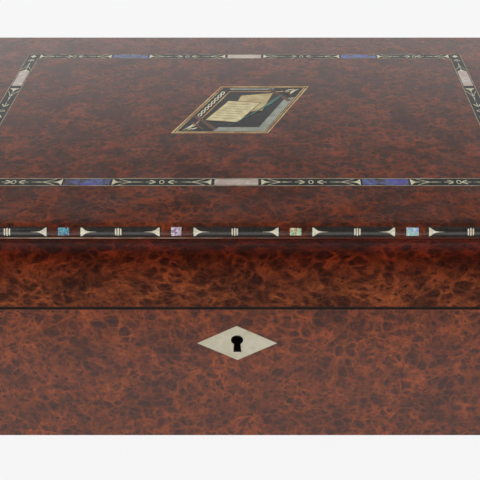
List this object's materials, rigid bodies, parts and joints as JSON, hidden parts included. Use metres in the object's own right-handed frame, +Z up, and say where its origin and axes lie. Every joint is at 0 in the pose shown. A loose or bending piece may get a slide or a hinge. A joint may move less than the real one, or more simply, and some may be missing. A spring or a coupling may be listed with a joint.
{
  "type": "wind up music box",
  "caption": "Hinged burr-veneered casket with a lever-wound cylinder musical movement under an inner glass lid, with lock, winding lever, control levers and air governor.",
  "frame": {"origin": "centre of the bounding box on the face that the case stands on", "axes": "+X along the front from left to right, +Y from front to back, +Z up"},
  "size_m": [0.338, 0.2342, 0.1307],
  "materials": {
    "burr_veneer": "gloss lacquer",
    "pine": "satin",
    "ebonised_wood": "gloss",
    "pearl": "gloss",
    "brass": "polished",
    "bedplate_brass": "grained",
    "cylinder_brass": "polished",
    "steel": "satin",
    "comb_steel": "ground",
    "blued_spring": "satin",
    "cement": "matt",
    "glass": "clear",
    "bone": "satin"
  },
  "bodies": {
    "case": {"base_board": "pine", "front_board": "burr_veneer", "back_board": "burr_veneer", "left_end": "burr_veneer", "right_end": "burr_veneer", "left_partition": "pine", "right_partition": "pine", "back_ledge": "pine", "escutcheon": "pearl", "lock_case": "brass", "case_hinge_leaves": "brass", "hinge_pins": "steel", "ledge_hinge_leaves": "brass", "bedplate": "bedplate_brass", "bedplate_blocks": "pine", "bedplate_bolts": "steel", "comb": "comb_steel", "comb_base": "brass", "comb_screws": "steel", "left_bridge": "brass", "middle_bridge": "brass", "right_bracket": "brass", "governor_frame": "brass", "governor_cock": "brass", "control_plate": "brass"},
    "lid": {"lid_panel": "burr_veneer", "lid_front_rail": "burr_veneer", "lid_back_rail": "burr_veneer", "lid_left_rail": "burr_veneer", "lid_right_rail": "burr_veneer", "lid_edging": "ebonised_wood", "lid_border_inlay": "ebonised_wood", "lid_centre_panel": "pearl", "lid_hinge_leaves": "brass", "lock_link_plate": "brass"},
    "glass_lid": {"glass_frame": "ebonised_wood", "glass_pane": "glass", "glass_hinge_leaves": "brass", "glass_knob": "brass"},
    "lock_bolt": {"lock_bolt": "steel"},
    "cylinder": {"pin_cylinder": "cylinder_brass", "cylinder_filling": "cement", "cylinder_caps": "brass", "cylinder_arbor": "steel", "cylinder_wheels": "brass"},
    "barrel": {"barrel_drum": "brass", "barrel_cap": "brass", "mainspring": "blued_spring"},
    "winding_arbor": {"barrel_arbor": "steel", "ratchet_wheels": "steel"},
    "click": {"click": "steel"},
    "winding_lever": {"winding_lever": "steel", "lever_grip": "bone"},
    "lever_pawl": {"lever_pawl": "steel"},
    "first_wheel": {"governor_first_wheel": "brass"},
    "second_wheel": {"governor_second_wheel": "brass"},
    "fly": {"endless_screw": "steel", "fly": "steel"},
    "start_lever": {"start_lever": "steel"},
    "change_lever": {"change_lever": "steel"}
  },
  "joints": [
    {"name": "lid_hinge", "type": "hinge", "parent": "case", "child": "lid", "pos_m": [0, 0.1146, 0.08185], "axis": [-1, 0, 0], "range_deg": [0, 95]},
    {"name": "glass_lid_hinge", "type": "hinge", "parent": "case", "child": "glass_lid", "pos_m": [0, 0.0886, 0.0823], "axis": [-1, 0, 0], "range_deg": [0, 90]},
    {"name": "lock_bolt_slide", "type": "slide", "parent": "case", "child": "lock_bolt", "axis": [1, 0, 0], "range_m": [0, 0.005]},
    {"name": "cylinder_turn", "type": "hinge", "parent": "case", "child": "cylinder", "pos_m": [0.015, 0.0004, 0.048], "axis": [1, 0, 0], "continuous": true},
    {"name": "barrel_turn", "type": "hinge", "parent": "case", "child": "barrel", "pos_m": [-0.075, 0.0324, 0.048], "axis": [1, 0, 0], "continuous": true},
    {"name": "first_wheel_turn", "type": "hinge", "parent": "case", "child": "first_wheel", "pos_m": [0.09, 0.02366, 0.03954], "axis": [1, 0, 0], "continuous": true},
    {"name": "second_wheel_turn", "type": "hinge", "parent": "case", "child": "second_wheel", "pos_m": [0.095, 0.03866, 0.03954], "axis": [1, 0, 0], "continuous": true},
    {"name": "fly_turn", "type": "hinge", "parent": "case", "child": "fly", "pos_m": [0.0997, 0.04896, 0.05], "axis": [0, 0, 1], "continuous": true},
    {"name": "lever_swing", "type": "hinge", "parent": "case", "child": "winding_lever", "pos_m": [-0.122, 0.0324, 0.048], "axis": [-1, 0, 0], "range_deg": [0, 60]},
    {"name": "arbor_wind", "type": "hinge", "parent": "case", "child": "winding_arbor", "pos_m": [-0.1, 0.0324, 0.048], "axis": [-1, 0, 0], "range_deg": [0, 60]},
    {"name": "lever_pawl_lift", "type": "hinge", "parent": "winding_lever", "child": "lever_pawl", "pos_m": [-0.115, 0.0127, 0.04453], "axis": [-1, 0, 0], "range_deg": [0, 15], "stiffness_Nm_per_rad": 0.002, "springref_deg": -17.19},
    {"name": "click_lift", "type": "hinge", "parent": "case", "child": "click", "pos_m": [-0.102, 0.01699, 0.04081], "axis": [-1, 0, 0], "range_deg": [0, 15], "stiffness_Nm_per_rad": 0.002, "springref_deg": -17.19},
    {"name": "start_lever_swing", "type": "hinge", "parent": "case", "child": "start_lever", "pos_m": [0.127, 0.04896, 0.04], "axis": [1, 0, 0], "range_deg": [0, 18]},
    {"name": "change_lever_swing", "type": "hinge", "parent": "case", "child": "change_lever", "pos_m": [0.127, -0.0176, 0.04], "axis": [1, 0, 0], "range_deg": [0, 18]}
  ],
  "couplings": [
    {"joint": "glass_lid_hinge", "follows": "lid_hinge", "ratio": 0.94},
    {"joint": "barrel_turn", "follows": "cylinder_turn", "ratio": -0.33333},
    {"joint": "first_wheel_turn", "follows": "cylinder_turn", "ratio": -5.6},
    {"joint": "second_wheel_turn", "follows": "cylinder_turn", "ratio": 22.4},
    {"joint": "fly_turn", "follows": "cylinder_turn", "ratio": -537.6},
    {"joint": "arbor_wind", "follows": "lever_swing", "ratio": 1}
  ]
}
